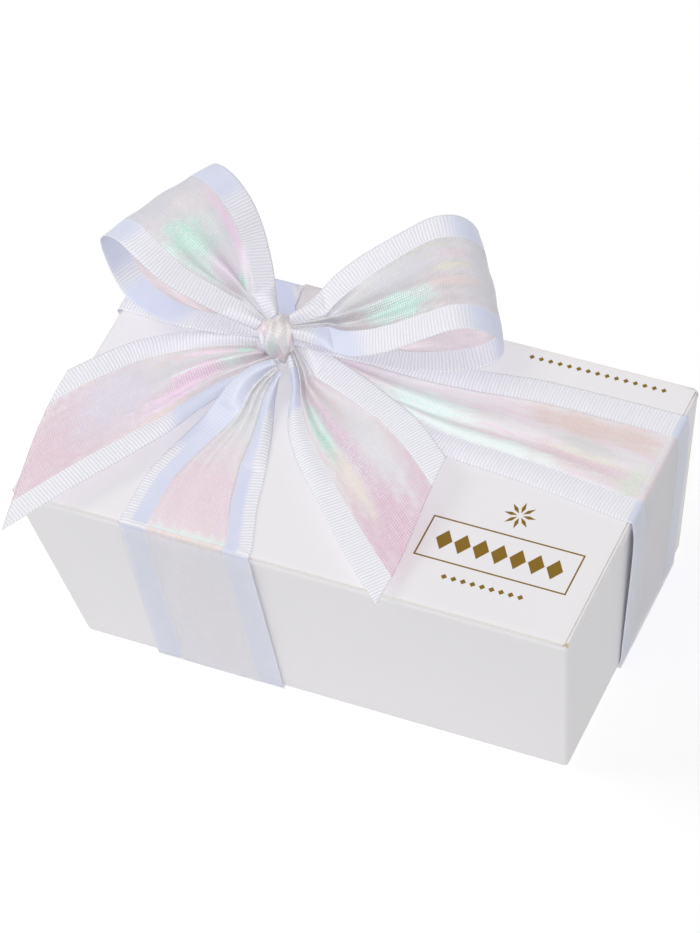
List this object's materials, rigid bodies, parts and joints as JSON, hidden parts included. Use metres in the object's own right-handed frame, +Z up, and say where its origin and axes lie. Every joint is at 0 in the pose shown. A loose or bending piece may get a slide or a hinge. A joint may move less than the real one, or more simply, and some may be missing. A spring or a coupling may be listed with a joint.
{
  "type": "ballotin box",
  "caption": "Tapered paperboard ballotin box with a hinged lid flap, an inner front flap and dust flaps, wrapped both ways with a wide sheer ribbon tied in a bow.",
  "frame": {"origin": "on the surface the box stands on, under the middle of the box, at the underside of the ribbon that crosses below it", "axes": "+X along the long side to the right, +Y from the front wall to the back wall where the lid is hinged, +Z up"},
  "size_m": [0.1688, 0.1316, 0.1005],
  "materials": {
    "board": "white clay-coated paperboard with a soft matt varnish",
    "board_inside": "uncoated inner side of the board",
    "ribbon_border": "white grosgrain weave that turns satin where it bends",
    "ribbon_sheer": "sheer iridescent weave, pink to mint",
    "gold_foil": "hot-stamped gold foil"
  },
  "bodies": {
    "box": {"base_panel": "board", "front_wall": "board", "back_wall": "board", "left_wall": "board", "right_wall": "board", "front_left_glue_tab": "board_inside", "back_left_glue_tab": "board_inside", "front_right_glue_tab": "board_inside", "back_right_glue_tab": "board_inside", "ribbon_base_cross": "ribbon_border"},
    "lid": {"lid_flap": "board"},
    "front_flap": {"front_flap": "board"},
    "left_dust_flap": {"left_dust_flap": "board"},
    "right_dust_flap": {"right_dust_flap": "board"},
    "ribbon": {"ribbon_run_front": "ribbon_sheer", "ribbon_run_right": "ribbon_sheer", "ribbon_run_back": "ribbon_sheer", "ribbon_run_left": "ribbon_sheer", "ribbon_leg_front": "ribbon_border", "ribbon_leg_back": "ribbon_border", "ribbon_leg_left": "ribbon_border", "ribbon_leg_right": "ribbon_border", "bow_knot": "ribbon_sheer", "bow_loop_left": "ribbon_sheer", "bow_loop_right": "ribbon_sheer", "bow_tail_left": "ribbon_sheer", "bow_tail_right": "ribbon_sheer"}
  },
  "joints": [
    {"name": "lid_hinge", "type": "hinge", "parent": "box", "child": "lid", "pos_m": [0, 0.046, 0.0648], "axis": [-1, 0, 0], "range_deg": [0, 180]},
    {"name": "front_flap_hinge", "type": "hinge", "parent": "box", "child": "front_flap", "pos_m": [0, -0.04589, 0.064], "axis": [1, 0, 0], "range_deg": [0, 180]},
    {"name": "left_dust_flap_hinge", "type": "hinge", "parent": "box", "child": "left_dust_flap", "pos_m": [-0.08221, 0, 0.0632], "axis": [0, -1, 0], "range_deg": [0, 90]},
    {"name": "right_dust_flap_hinge", "type": "hinge", "parent": "box", "child": "right_dust_flap", "pos_m": [0.08221, 0, 0.0632], "axis": [0, 1, 0], "range_deg": [0, 90]},
    {"name": "ribbon_lift", "type": "slide", "parent": "box", "child": "ribbon", "axis": [0, 0, 1], "range_m": [0, 0.365], "deforming": ["ribbon_leg_front", "ribbon_leg_back", "ribbon_leg_left", "ribbon_leg_right"]}
  ],
  "couplings": [
    {"joint": "front_flap_hinge", "follows": "lid_hinge", "ratio": 1},
    {"joint": "left_dust_flap_hinge", "follows": "lid_hinge", "ratio": 0.5},
    {"joint": "right_dust_flap_hinge", "follows": "lid_hinge", "ratio": 0.5},
    {"joint": "ribbon_lift", "follows": "lid_hinge", "m_per_rad": 0.115}
  ]
}
